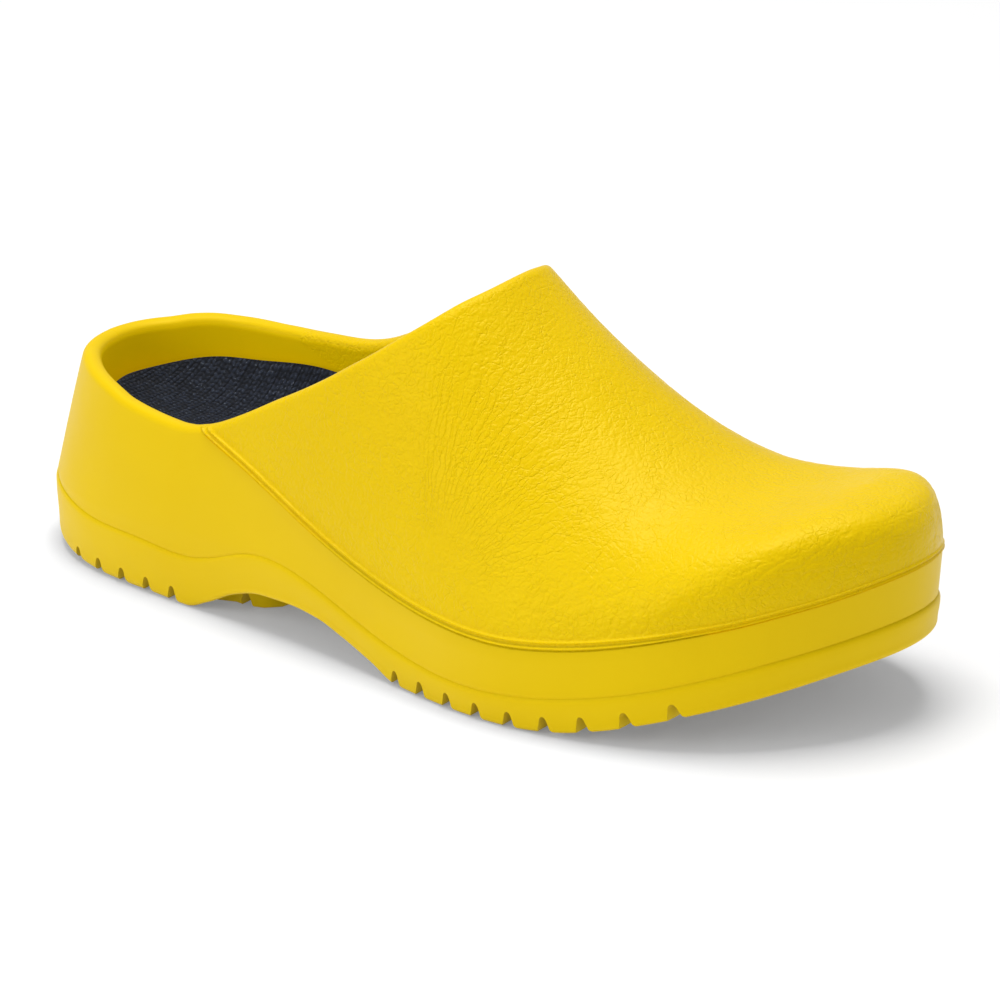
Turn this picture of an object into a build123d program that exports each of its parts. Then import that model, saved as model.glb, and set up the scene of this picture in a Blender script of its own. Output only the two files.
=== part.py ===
from build123d import *
import os

import numpy as np

# Rubber garden clog, right foot, with a removable layered footbed.
# Millimetres, +Z up, +X towards the toe, +Y towards the inner (medial) side of the foot.
# The origin lies on the ground, under the middle of the overall length and width.

# ---- driving dimensions ---------------------------------------------------

ORIGIN_X = -0.15        # shifts the lines plan so that the origin lies under the
ORIGIN_Y = 3.72         # middle of the overall length and width
HALF_LENGTH = 137.0     # nominal, scales the stations of grown and shrunk hulls

WALL = 5.5              # wall of the moulded shell
END_WALL_EXTRA = 0.2    # additional wall at heel and toe
WELT_HEIGHT = 1.9       # welt bead round the vamp, height of the strip
WELT_PROUD = 0.9        # welt bead stands proud of the wall by this much
WELT_FIRST_STATION = 8  # index of the rearmost station of the bead's hull
VAMP_REAR_X = -66.0     # rear ends of the vamp, under the low point of the topline
TILT = 0.0594           # the topline rises towards the inner side by this slope

# hull sections
HULL_FOOT_Z = -3.0      # the walls run down to here
MIN_HALF_WIDTH = 2.0
CURVE_SAMPLES = 160     # samples on each half of the exact section curve
SECTION_POINTS = 25     # evenly spaced spline points taken from it

# crosswise tread grooves
TREAD_PITCH = 9.8       # in the heel
TREAD_GROOVE_W = 2.8
TREAD_GROOVE_D = 3.8
TREAD_CUTTER_SPAN = 160
TREAD_CUTTER_H = 20
HEEL_GROOVE_X = -114.0  # first tread groove of the heel
HEEL_GROOVES = 5
# tread grooves of the forefoot, a little wider apart towards the toe
BALL_GROOVES_X = [10.6, 20.3, 30.3, 40.4, 50.8, 61.3, 72.0, 83.4, 95.2]

# footbed
COVER_T = 1.4           # textile cover
JUTE_T = 0.8            # each jute layer
FOOTBED_HALF = 28.0     # half-width at which the edge rise is reached
FOOTBED_REACH = 1.9     # sections reach this many half-widths to each side
FOOTBED_RISE_LIMIT = 1.25  # the rise stays level beyond this many half-widths
FOOTBED_RISE_POWER = 2.6
FOOTBED_POINTS = 15     # spline points per section
FOOTBED_LOFT_BASE = -20
BLANK_BASE = 5          # the footbed blank starts at this height
BLANK_HEIGHT = 60

# extents of the cutting bodies
CUT_WIDTH = 200.0
CUT_X = 145
CUT_BOTTOM = -30
TOPLINE_CUT_TOP = 160
VAMP_CUT_REAR_X = -150
VAMP_CUT_TOP = 150

# ---- lines plan -----------------------------------------------------------

# Shell, one row per cross-section:
# x, outer (lateral) y, inner (medial) y, crown y, crown z,
# z where the straight wall ends, fullness in height, fullness in width
STATIONS = [
    (-137.4, -5.0, 5.0, 0.0, 15.0, 10.0, 1.00, 2.00),
    (-136.6, -9.2, 9.0, 0.0, 24.0, 14.0, 1.00, 2.00),
    (-134.0, -15.2, 14.7, 0.0, 38.0, 20.0, 0.95, 2.00),
    (-130.0, -21.2, 20.6, 0.0, 54.0, 20.0, 1.00, 2.00),
    (-125.0, -26.1, 25.4, 0.0, 72.0, 20.0, 1.05, 2.00),
    (-118.0, -30.6, 30.1, 0.0, 92.0, 20.0, 1.10, 2.00),
    (-108.0, -34.5, 34.2, 0.0, 110.0, 20.0, 1.20, 2.00),
    (-95.0, -37.3, 36.6, 0.0, 117.5, 20.0, 1.30, 2.00),
    (-80.0, -39.1, 36.2, 0.0, 118.0, 20.6, 1.35, 2.00),
    (-60.0, -40.7, 34.7, 0.0, 119.5, 22.0, 1.42, 2.00),
    (-40.0, -42.8, 35.0, 0.3, 122.0, 22.5, 1.52, 2.00),
    (-20.0, -45.6, 36.5, 1.1, 122.5, 22.0, 1.58, 2.00),
    (0.0, -48.9, 39.2, 2.0, 116.1, 20.8, 1.47, 2.24),
    (15.0, -51.8, 42.1, 2.9, 103.6, 19.5, 1.42, 2.31),
    (30.0, -54.5, 45.0, 4.1, 90.6, 18.3, 1.48, 2.15),
    (45.0, -55.5, 47.1, 5.4, 80.0, 18.1, 1.58, 1.99),
    (60.0, -54.1, 47.8, 6.9, 70.4, 19.7, 1.71, 2.02),
    (75.0, -50.7, 47.4, 8.4, 63.9, 22.7, 1.93, 2.17),
    (90.0, -45.4, 46.2, 10.4, 60.6, 26.0, 2.45, 2.55),
    (102.0, -39.2, 44.8, 11.8, 60.0, 28.0, 3.10, 2.80),
    (112.0, -31.4, 42.6, 12.6, 60.8, 30.0, 3.60, 2.70),
    (121.0, -22.4, 38.2, 12.6, 61.4, 33.0, 3.90, 2.50),
    (127.0, -14.0, 32.8, 12.2, 60.6, 36.0, 3.90, 2.30),
    (131.5, -5.8, 26.2, 11.6, 58.8, 38.0, 3.60, 2.20),
    (134.6, 2.6, 18.6, 10.8, 55.0, 39.0, 3.00, 2.10),
    (136.8, 7.6, 12.6, 10.2, 48.5, 40.0, 2.40, 2.00),
]

# side-view lines from heel to toe, (x, z)
GROUND_LINE = [
    (-145, 4.4), (-137, 2.2), (-128, 0.8), (-115, 0.1), (-104, 0), (-70, 0), (-62, 3.0),
    (-52, 8.0), (-42, 10.6), (-30, 11.0), (-20, 10.1), (-10, 7.2), (0, 3.2), (10, 0.1),
    (18, 0), (50, 0), (64, 1.0), (76, 3.4), (88, 6.8), (100, 10.6), (116, 15.8),
    (129, 20.2), (145, 25.0),
]
OUTSOLE_TOP = [
    (-145, 22.5), (-137, 21), (-121, 18.5), (-111, 16.8), (-102, 16.1), (-86, 15.8),
    (-71, 15.2), (-63.7, 15.6), (-56, 18.2), (-48.7, 21), (-41, 22.5), (-33.6, 22.4),
    (-26, 21), (-10.7, 16.5), (4.6, 12), (19.7, 9.4), (34.3, 8.5), (47.9, 9),
    (60.5, 10.4), (72, 12.5), (82.6, 15), (92.3, 17.8), (101.4, 20.7), (110, 23.6),
    (117.4, 26.1), (124.3, 28.3), (130.2, 30.2), (145, 35),
]
WELT_LINE = [
    (-90, 62), (-72, 54.5), (-67.4, 52.1), (-55.8, 47.7), (-41, 42.3), (-26, 36.3),
    (-10.7, 30.8), (4.5, 26.6), (19.6, 23.9), (34.1, 22.7), (47.7, 22.7), (60.3, 24),
    (71.8, 26), (87.3, 29.8), (101, 33.7), (109.4, 36.2), (117.1, 38.8), (124, 41),
    (130, 43.1), (145, 48),
]
TOPLINE = [
    (-145, 59.5), (-128, 57.6), (-116, 57.4), (-104, 57.0), (-88, 56.0), (-76, 55.6),
    (-68, 56.4), (-61, 58.2), (-54, 60.9), (-46, 65), (-38.5, 69.3), (-31.6, 73.1),
    (-25, 76.9), (-18.7, 80.9), (-12.9, 84.7), (-8.3, 87.7), (-4, 90.5), (2.4, 95.2),
    (6.4, 98.2), (9.8, 100.4), (12.4, 102), (14.2, 103.1), (15.4, 104.6), (17, 108),
    (19, 130),
]
FLOOR_LINE = [
    (-145, 31), (-131, 30.4), (-110, 30), (-85, 30), (-60, 29.3), (-35, 27), (-10, 22),
    (15, 16.5), (45, 13.5), (70, 16), (92, 22), (110, 28), (127, 33.5), (145, 39),
]

# plan outline of the footbed, (x, y): heel - outer side - toe - inner side
FOOTBED_PLAN = [
    (-121.4, 0), (-117.5, -12.0), (-107.4, -20.2), (-91.8, -24.1), (-62, -27.8),
    (-30, -30.6), (5, -38.4), (40, -46.8), (68, -44.2), (92, -35.6), (110, -23),
    (121.2, -7), (126.0, 10), (121.2, 25.5), (108, 34.5), (90, 38.6), (64, 40),
    (36, 37.6), (4, 29.2), (-30, 22.8), (-62, 22.7), (-91.8, 23.5), (-107.4, 20.2),
    (-117.5, 12.0),
]
# footbed sections: x, thickness on the centre line, rise of the outer and the inner edge
FOOTBED_SECTIONS = [
    (-135, 19.5, 10.0, 14.0), (-115, 13.2, 10.5, 14.7), (-95, 9.3, 10.2, 14.8),
    (-70, 9.0, 9.0, 20.5), (-45, 9.5, 5.5, 20.0), (-20, 9.5, 2.6, 11.5),
    (5, 9.0, 1.2, 4.5), (30, 7.5, 0.6, 1.2), (55, 6.5, 0.5, 0.5), (80, 6.0, 0.4, 0.4),
    (105, 5.5, 0.4, 0.4), (135, 5.2, 0.4, 0.4),
]

# ---- helpers --------------------------------------------------------------

# side view, local axes X and Z; the leaning plane puts the inner side of a cut higher
SIDE = Plane(origin=(ORIGIN_X, 0, 0), x_dir=(1, 0, 0), z_dir=(0, -1, 0))
LEANING_SIDE = Plane(origin=(ORIGIN_X, ORIGIN_Y, 0), x_dir=(1, 0, 0), z_dir=(0, -1, -TILT))


def cross_plane(x):
    """Plane across the shoe at x; its local axes are Y and Z."""
    return Plane(origin=(x + ORIGIN_X, ORIGIN_Y, 0), x_dir=(0, 1, 0), z_dir=(1, 0, 0))


def height_at(line, x):
    return float(np.interp(x, *zip(*line)))


def raised(line, rise):
    return [(x, z + rise) for x, z in line]


def hull_section(station, offset):
    """Points of one hull section, evenly spaced from the outer to the inner wall foot."""
    _, y_outer, y_inner, y_crown, z_crown, z_wall, fullness_z, fullness_y = station
    half_outer = max(y_crown - y_outer + offset, MIN_HALF_WIDTH)
    half_inner = max(y_inner - y_crown + offset, MIN_HALF_WIDTH)
    angle = np.linspace(0, np.pi / 2, CURVE_SAMPLES)
    width = np.cos(angle) ** (2 / fullness_y)
    z = z_wall + (z_crown + offset - z_wall) * np.sin(angle) ** (2 / fullness_z)
    ys = np.r_[y_crown - half_outer, y_crown - half_outer * width,
               (y_crown + half_inner * width)[::-1], y_crown + half_inner]
    zs = np.r_[HULL_FOOT_Z, z, z[::-1], HULL_FOOT_Z]
    run = np.r_[0, np.cumsum(np.hypot(np.diff(ys), np.diff(zs)))]
    marks = np.linspace(0, run[-1], SECTION_POINTS)
    return [(float(y), float(z)) for y, z in zip(np.interp(marks, run, ys),
                                                 np.interp(marks, run, zs))]


def hull_body(stations, offset=0.0, end_offset=0.0):
    """Loft through the stations, grown by offset across and end_offset lengthwise."""
    with BuildPart() as body:
        for station in stations:
            with BuildSketch(cross_plane(station[0] * (1 + end_offset / HALF_LENGTH))):
                with BuildLine():
                    points = hull_section(station, offset)
                    Spline(*points)
                    Line(points[-1], points[0])
                make_face()
        loft()
    return body.part


def side_body(line, corners=((CUT_X, CUT_BOTTOM), (-CUT_X, CUT_BOTTOM)),
              plane=SIDE, curve=Spline):
    """Body right across the shoe, bounded by a side-view line closed through the corners."""
    with BuildPart() as body:
        with BuildSketch(plane):
            with BuildLine():
                curve(*line)
                Polyline(line[-1], *corners, line[0])
            make_face()
        extrude(amount=CUT_WIDTH / 2, both=True)
    return body.part


def footbed_section(section, depth):
    """Points of a surface `depth` below the top of the footbed, outer to inner side."""
    x, thickness, rise_outer, rise_inner = section
    points = []
    for k in np.linspace(-FOOTBED_REACH, FOOTBED_REACH, FOOTBED_POINTS):
        edge_rise = rise_outer if k < 0 else rise_inner
        rise = edge_rise * min(abs(k), FOOTBED_RISE_LIMIT) ** FOOTBED_RISE_POWER
        z = height_at(FLOOR_LINE, x) + thickness + rise - depth
        points.append((float(k * FOOTBED_HALF), float(z)))
    return points


def below_footbed_surface(depth):
    """Everything under the surface `depth` below the top of the footbed."""
    with BuildPart() as body:
        for section in FOOTBED_SECTIONS:
            with BuildSketch(cross_plane(section[0])):
                with BuildLine():
                    points = footbed_section(section, depth)
                    Spline(*points)
                    Polyline(points[-1], (points[-1][0], FOOTBED_LOFT_BASE),
                             (points[0][0], FOOTBED_LOFT_BASE), points[0])
                make_face()
        loft()
    return body.part


# ---- shaping bodies, shared by the pieces ---------------------------------

# full outer hull before the foot opening is cut, the hull of the bead, the space inside
hull = hull_body(STATIONS)
welt_hull = hull_body(STATIONS[WELT_FIRST_STATION:], WELT_PROUD, WELT_PROUD)
inner_hull = hull_body(STATIONS[1:-1], -WALL, -(WALL + END_WALL_EXTRA))

below_outsole_top = side_body(OUTSOLE_TOP)
below_ground = side_body(GROUND_LINE, curve=Polyline)   # arch and toe spring
below_floor = side_body(FLOOR_LINE)
above_topline = side_body(
    TOPLINE,
    corners=((TOPLINE[-1][0], TOPLINE_CUT_TOP), (-CUT_X, TOPLINE_CUT_TOP)),
    plane=LEANING_SIDE,
)
below_bead_top = side_body(
    raised(WELT_LINE, WELT_HEIGHT),
    corners=((CUT_X, CUT_BOTTOM), (WELT_LINE[0][0], CUT_BOTTOM)),
)
below_welt_line = side_body(
    WELT_LINE,
    corners=((CUT_X, CUT_BOTTOM), (-CUT_X, CUT_BOTTOM), (-CUT_X, WELT_LINE[0][1])),
)

# everything that is not vamp: under the welt line, and behind its rear ends
with BuildPart() as not_vamp:
    add(below_welt_line)
    with BuildSketch(SIDE):
        with Locations(((VAMP_REAR_X + VAMP_CUT_REAR_X) / 2, (VAMP_CUT_TOP + CUT_BOTTOM) / 2)):
            Rectangle(VAMP_REAR_X - VAMP_CUT_REAR_X, VAMP_CUT_TOP - CUT_BOTTOM)
    extrude(amount=CUT_WIDTH / 2, both=True)

# narrow band above the welt line, where the bead runs
with BuildPart() as welt_band:
    add(below_bead_top)
    add(not_vamp.part, mode=Mode.SUBTRACT)

# space for the foot and the footbed
with BuildPart() as cavity:
    add(inner_hull)
    add(below_floor, mode=Mode.SUBTRACT)

# ---- shell ----------------------------------------------------------------

heel_grooves_x = [HEEL_GROOVE_X + i * TREAD_PITCH for i in range(HEEL_GROOVES)]
groove_places = [
    (x + ORIGIN_X, 0, height_at(GROUND_LINE, x) + TREAD_GROOVE_D - TREAD_CUTTER_H / 2)
    for x in heel_grooves_x + BALL_GROOVES_X
]
with BuildPart() as outsole:
    add(hull)
    add(below_outsole_top, mode=Mode.INTERSECT)
    add(below_ground, mode=Mode.SUBTRACT)
    with Locations(*groove_places):
        Box(TREAD_GROOVE_W, TREAD_CUTTER_SPAN, TREAD_CUTTER_H, mode=Mode.SUBTRACT)

with BuildPart() as heel_quarter_sidewall:
    add(hull)
    add(not_vamp.part, mode=Mode.INTERSECT)
    add(below_outsole_top, mode=Mode.SUBTRACT)
    add(cavity.part, mode=Mode.SUBTRACT)
    add(above_topline, mode=Mode.SUBTRACT)

with BuildPart() as vamp_bead:
    add(welt_hull)
    add(welt_band.part, mode=Mode.INTERSECT)

with BuildPart() as vamp:
    add(hull)
    add(not_vamp.part, mode=Mode.SUBTRACT)
    add(below_bead_top, mode=Mode.SUBTRACT)
    add(vamp_bead.part)
    add(cavity.part, mode=Mode.SUBTRACT)
    add(above_topline, mode=Mode.SUBTRACT)

# ---- removable footbed: cover, jute, core, jute ---------------------------

below_top = below_footbed_surface(0.0)
below_cover = below_footbed_surface(COVER_T)
below_upper_jute = below_footbed_surface(COVER_T + JUTE_T)
below_core = side_body(raised(FLOOR_LINE, JUTE_T))

# all layers in one
with BuildPart() as footbed_blank:
    with BuildSketch(Plane(origin=(ORIGIN_X, ORIGIN_Y, BLANK_BASE))):
        with BuildLine():
            Spline(*FOOTBED_PLAN, periodic=True)
        make_face()
    extrude(amount=BLANK_HEIGHT)
    add(below_floor, mode=Mode.SUBTRACT)
    add(below_top, mode=Mode.INTERSECT)

with BuildPart() as footbed_cover:
    add(footbed_blank.part)
    add(below_cover, mode=Mode.SUBTRACT)

with BuildPart() as footbed_upper_jute:
    add(footbed_blank.part)
    add(below_cover, mode=Mode.INTERSECT)
    add(below_upper_jute, mode=Mode.SUBTRACT)

with BuildPart() as footbed_core:
    add(footbed_blank.part)
    add(below_upper_jute, mode=Mode.INTERSECT)
    add(below_core, mode=Mode.SUBTRACT)

with BuildPart() as footbed_lower_jute:
    add(footbed_blank.part)
    add(below_core, mode=Mode.INTERSECT)

# ---- export ---------------------------------------------------------------

PIECES = {
    "outsole": outsole,
    "heel_quarter_sidewall": heel_quarter_sidewall,
    "vamp": vamp,
    "footbed_cover": footbed_cover,
    "footbed_upper_jute": footbed_upper_jute,
    "footbed_core": footbed_core,
    "footbed_lower_jute": footbed_lower_jute,
}
os.makedirs("parts", exist_ok=True)
for name, piece in PIECES.items():
    piece.part.label = name
    export_step(piece.part, f"parts/{name}.step")
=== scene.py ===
"""A yellow foam-rubber clog: outsole, sidewall with heel quarter, grained vamp, footbed cover.

The toe points to +X and the heel to -X, the outer side lies towards -Y and the inner side
towards +Y, and the ground is z = 0.  Shapes are worked out in mm about the shoe's own long
axis; Grid.object moves them to the CAD frame and scales them to metres.
"""
import math

import bpy
import bmesh
import numpy as np
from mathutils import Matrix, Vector


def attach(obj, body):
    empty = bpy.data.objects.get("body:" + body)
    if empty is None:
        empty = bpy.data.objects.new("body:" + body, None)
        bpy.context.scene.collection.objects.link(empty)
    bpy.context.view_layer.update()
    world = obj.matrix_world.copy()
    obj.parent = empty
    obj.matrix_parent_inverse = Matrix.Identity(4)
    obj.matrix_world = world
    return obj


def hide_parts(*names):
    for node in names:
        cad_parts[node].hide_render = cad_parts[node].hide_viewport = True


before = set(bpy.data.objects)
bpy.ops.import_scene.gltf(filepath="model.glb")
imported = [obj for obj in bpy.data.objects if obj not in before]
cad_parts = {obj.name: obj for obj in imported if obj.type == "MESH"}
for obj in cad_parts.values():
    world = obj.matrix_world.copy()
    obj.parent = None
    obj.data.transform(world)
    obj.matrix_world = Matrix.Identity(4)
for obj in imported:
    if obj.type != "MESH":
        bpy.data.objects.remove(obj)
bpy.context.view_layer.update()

AXIS_ORIGIN = np.array([-0.15, 3.72, 0.0])   # the shoe's own origin in the CAD frame
MM = 0.001                                   # metres
WALL = 5.5                                   # thickness of the upper
RIM = WALL / 2                               # radius of the rim's round
JOINT = -0.55                                # sidewall-vamp joint, from the welt line
OUTER, INNER = 0, 1                          # the two sides


# ---- curves ---------------------------------------------------------------

def spline(x, y, periodic=False):
    """Cubic spline through y at stations x, with free ends or closed on itself."""
    x = np.asarray(x, float)
    y = np.asarray(y, float)
    flat = y.ndim == 1
    if flat:
        y = y[:, None]
    n = len(x) - 1
    span = np.diff(x)
    slope = np.diff(y, axis=0) / span[:, None]
    matrix = np.zeros((n + 1, n + 1))
    target = np.zeros((n + 1, y.shape[1]))
    for i in range(1, n):
        matrix[i, i - 1:i + 2] = span[i - 1], 2 * (span[i - 1] + span[i]), span[i]
        target[i] = 6 * (slope[i] - slope[i - 1])
    if periodic:
        matrix[0, 0], matrix[0, 1], matrix[0, n - 1] = 2 * (span[0] + span[-1]), span[0], span[-1]
        target[0] = 6 * (slope[0] - slope[-1])
        matrix[n, n], matrix[n, 0] = 1, -1
    else:
        matrix[0, 0] = matrix[n, n] = 1
    bend = np.linalg.solve(matrix, target)

    def curve(t, derivative=False):
        t = np.asarray(t, float)
        shape = t.shape
        t = t.ravel()
        if periodic:
            t = x[0] + np.mod(t - x[0], x[-1] - x[0])
        else:
            t = np.clip(t, x[0], x[-1])
        i = np.clip(np.searchsorted(x, t, side="right") - 1, 0, n - 1)
        a = ((x[i + 1] - t) / span[i])[:, None]
        b = ((t - x[i]) / span[i])[:, None]
        h = span[i][:, None]
        if derivative:
            bending = (1 - 3 * a * a) * bend[i] + (3 * b * b - 1) * bend[i + 1]
            value = slope[i] + bending * (h / 6)
        else:
            bending = (a ** 3 - a) * bend[i] + (b ** 3 - b) * bend[i + 1]
            value = a * y[i] + b * y[i + 1] + bending * (h ** 2 / 6)
        return value[:, 0].reshape(shape) if flat else value.reshape(shape + (y.shape[1],))
    return curve


def pchip(x, y):
    """Curve through y at stations x that never overshoots them."""
    x = np.asarray(x, float)
    y = np.asarray(y, float)
    span = np.diff(x)
    slope = np.diff(y) / span
    tangent = np.zeros_like(y)
    for i in range(1, len(x) - 1):
        if slope[i - 1] * slope[i] > 0:
            w1, w2 = 2 * span[i] + span[i - 1], span[i] + 2 * span[i - 1]
            tangent[i] = (w1 + w2) / (w1 / slope[i - 1] + w2 / slope[i])
    tangent[0], tangent[-1] = slope[0], slope[-1]

    def curve(t):
        t = np.clip(np.asarray(t, float), x[0], x[-1])
        i = np.clip(np.searchsorted(x, t, side="right") - 1, 0, len(x) - 2)
        u = (t - x[i]) / span[i]
        return ((2 * u ** 3 - 3 * u ** 2 + 1) * y[i]
                + (u ** 3 - 2 * u ** 2 + u) * span[i] * tangent[i]
                + (3 * u ** 2 - 2 * u ** 3) * y[i + 1]
                + (u ** 3 - u ** 2) * span[i] * tangent[i + 1])
    return curve


def smooth(start, end, x):
    """0 before start, 1 past end, an S-curve between."""
    u = np.clip((np.asarray(x, float) - start) / (end - start), 0, 1)
    return u * u * (3 - 2 * u)


def lengths_along(points):
    """Distance from the first point to each point of a polyline."""
    return np.r_[0, np.cumsum(np.linalg.norm(np.diff(points, axis=0), axis=1))]


def closed_curve(points):
    """Closed spline over distance along the points, and its total length."""
    points = np.array(points, float)
    loop = np.vstack([points, points[:1]])
    dist = lengths_along(loop)
    return spline(dist, loop, periodic=True), dist[-1]


def unit(vectors, smallest=0.0):
    return vectors / np.maximum(np.linalg.norm(vectors, axis=-1, keepdims=True), smallest)


# ---- lines of the clog ----------------------------------------------------

# plan outline (x, y): heel, outer side, toe, inner side
outline_curve, OUTLINE_LENGTH = closed_curve([
    (-137.5, 0), (-133, -17), (-120, -29.5), (-98, -36.8), (-62, -40.5), (-25, -44.8),
    (12, -51.2), (42, -55.5), (70, -52), (97, -42), (117.9, -25.9), (130.5, -7.9),
    (135.6, 9.9), (130.9, 27.3), (117.1, 40.6), (94.0, 45.8), (66.4, 47.8), (36, 46),
    (2, 39.5), (-32, 35.5), (-66, 35), (-96, 36.5), (-119, 29.5), (-133, 16.5)])

# each curve: x stations, then the values there
ground_z = pchip(     # underside of the outsole
    [-137, -128, -115, -100, -70, -62, -52, -42, -30, -20, -10, 0, 10, 50, 64, 76, 88, 100,
     116, 129, 137],
    [2.2, .8, .1, 0, 0, 3, 8, 10.6, 11, 10.1, 7.2, 3.2, 0, 0, 1, 3.4, 6.8, 10.6,
     15.8, 20.2, 22.5])
sole_top_z = spline(  # line between outsole and sidewall
    [-137, -121, -111, -102, -86, -71, -63.7, -56, -48.7, -41, -33.6, -26, -10.7, 4.6, 19.7,
     34.3, 47.9, 60.5, 72, 82.6, 92.3, 101.4, 110, 117.4, 124.3, 130.2, 137],
    [21, 18.5, 16.8, 16.1, 15.8, 15, 16, 18.5, 21.2, 22.6, 22.4, 21, 16.5, 12, 9.4,
     8.5, 9, 10.4, 12.5, 15, 17.8, 20.7, 23.6, 26.1, 28.3, 30.2, 32.3])
welt_z = spline(      # welt line between sidewall and vamp
    [-90, -72, -67.4, -55.8, -41, -26, -10.7, 4.5, 19.6, 34.1, 47.7, 60.3, 71.8, 87.3, 101,
     109.4, 117.1, 124, 130, 137],
    [60.5, 54.3, 52.1, 47.7, 42.3, 36.3, 30.8, 26.6, 23.9, 22.7, 22.7, 24, 26, 29.8, 33.7,
     36.2, 38.8, 41, 43.1, 45.6])
base_z = spline(      # where the form starts to lean inwards
    [-137, -90, -60, -20, 10, 40, 80, 110, 137], [22, 20, 22, 22, 20, 18, 24, 33, 41])
crown_z = spline(     # top of the form, along its spine
    [-137, -100, -60, -25, 0, 12, 25, 40, 55, 70, 85, 100, 118],
    [118, 118, 118, 123.3, 116.1, 106.4, 94.6, 83.4, 73.4, 65.2, 60.2, 58.9, 62.6])
spine_y = pchip([-137, -96, -60, 0, 40, 80, 110, 125], [0, 0, 0, 2, 5, 9, 13, 14])
side_power = pchip(   # exponent of a section's reach to the side
    [-137, -60, -20, 10, 50, 80, 100, 118], [2, 2, 2, 2.32, 1.98, 2.30, 3.30, 4.50])
rise_power = pchip(   # exponent of a section's rise
    [-137, -125, -112, -98, -60, -20, 10, 50, 80, 100, 118],
    [.93, 1.0, 1.15, 1.3, 1.4, 1.6, 1.42, 1.62, 2.08, 3.45, 5.20])
floor_z = spline(     # inner floor of the shell
    [-145, -131, -110, -85, -60, -35, -10, 15, 45, 70, 92, 110, 127, 145],
    [31, 30.4, 30, 30, 29.3, 27, 22, 16.5, 13.5, 16, 22, 28, 33.5, 39])
outer_crest_z = pchip(  # crest of the topline
    [-139, -128, -116, -104.1, -96.7, -88.5, -80.8, -75.5, -71.5, -66, -62.4, -55.3, -48.3,
     -41.3, -34.5, -27.9, -21.6, -15.6, -11.1, -6.8, -.2, 4.6, 8.9, 12.1, 14.2, 15.2, 17],
    [57.8, 57.3, 56.2, 54.6, 53.1, 52.1, 51.5, 51.3, 51.6, 53.0, 54.3, 57.7, 61.6,
     65.7, 69.5, 73.4, 77.4, 81.5, 84.5, 87.6, 92.4, 96.2, 99.4, 101.5, 102.9, 104.0, 106.5])
inner_crest_z = pchip(
    [-139, -128, -119.5, -113, -102.7, -89.8, -82.6, -75, -67.6, -60.3, -53.3, -48, -41.3,
     -34.5, -27.9, -21.6, -15.6, -11.1, -6.8, -.2, 4.6, 8.9, 12.1, 14.2, 15.2, 17],
    [57.8, 58.0, 58.9, 59.1, 58.8, 58.9, 59.3, 59.8, 60.4, 61.0, 62.2, 64.0, 67.3,
     70.9, 74.6, 78.4, 82.4, 85.3, 88.3, 92.9, 96.5, 99.6, 101.6, 102.9, 104.0, 106.5])
# the spine stops at these x, with a soft stop of this length
TOE_CENTRE, HEEL_CENTRE, SPINE_SOFT = 117.0, -98.0, 5.0


# ---- the form: every point has an outline parameter t and a rise ----------

def outline(t):
    """Plan point at t, where t runs from 0 to 1 round the outline."""
    return outline_curve(np.asarray(t) * OUTLINE_LENGTH)


def outline_normal(t):
    along = unit(outline_curve(np.asarray(t) * OUTLINE_LENGTH, derivative=True))
    return np.stack([along[..., 1], -along[..., 0]], -1)


def spine(x):
    """Spine point (x, y) that the section at outline position x closes on."""
    soft = SPINE_SOFT
    at = -soft * np.log(np.exp(-x / soft) + math.exp(-TOE_CENTRE / soft))
    at = soft * np.log(np.exp(at / soft) + math.exp(HEEL_CENTRE / soft))
    return at, spine_y(at)


def meridian(t):
    """Section at t: outline point, spine point, side and rise powers, top and base z."""
    foot = outline(t)
    x = foot[..., 0]
    at, y = spine(x)
    rise_pow = rise_power(at + np.minimum(0, x - HEEL_CENTRE))
    return foot, np.stack([at, y], -1), side_power(at), rise_pow, crown_z(at), base_z(x)


def form(t, rise):
    """Point of the form; rise is 0 on the outline and 1 on the spine."""
    foot, centre, side_pow, rise_pow, top, base = meridian(t)
    angle = rise * np.pi / 2
    inward = 1 - np.clip(np.cos(angle), 0, 1) ** (2 / side_pow)
    up = np.sin(angle) ** (2 / rise_pow)
    xy = foot + (centre - foot) * inward[..., None]
    return np.concatenate([xy, (base + (top - base) * up)[..., None]], -1)


def rise_at_z(t, z):
    _, _, _, rise_pow, top, base = meridian(t)
    up = np.clip((z - base) / (top - base), 0, 1)
    return np.arcsin(up ** (rise_pow / 2)) * 2 / np.pi


def rise_at_y(t, y):
    foot, centre, side_pow = meridian(t)[:3]
    inward = (y - foot[..., 1]) / (centre[..., 1] - foot[..., 1])
    return np.arccos(np.clip(1 - inward, 0, 1) ** (side_pow / 2)) * 2 / np.pi


def rise_at(t, points):
    """Rise of points near the form: from z on its sides, from y on its top."""
    by_z = rise_at_z(t, points[:, 2])
    top = smooth(0.45, 0.7, by_z)
    return by_z * (1 - top) + rise_at_y(t, points[:, 1]) * top


def form_normal(t, rise):
    """Outward normal of the form."""
    t, rise = np.broadcast_arrays(np.asarray(t, float), np.asarray(rise, float))
    rise = np.clip(rise, 0.012, 0.984)
    dt, drise = 0.0012, 0.008
    normal = np.cross(form(t + dt, rise) - form(t - dt, rise),
                      form(t, rise + drise) - form(t, rise - drise))
    normal = unit(normal, 1e-12)
    outward = (normal[..., :2] * outline_normal(t)).sum(-1) + 0.7 * normal[..., 2]
    return normal * np.where(outward < 0, -1, 1)[..., None]


def crest(x, side):
    return np.where(np.asarray(side) == OUTER, outer_crest_z(x), inner_crest_z(x))


def rim_base(x, side):
    """Height where the wall ends and the rim's round begins, on the low part of the topline."""
    slope = crest(x + 0.5, side) - crest(x - 0.5, side)
    return crest(x, side) - RIM * np.sqrt(1 + slope * slope)


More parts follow.
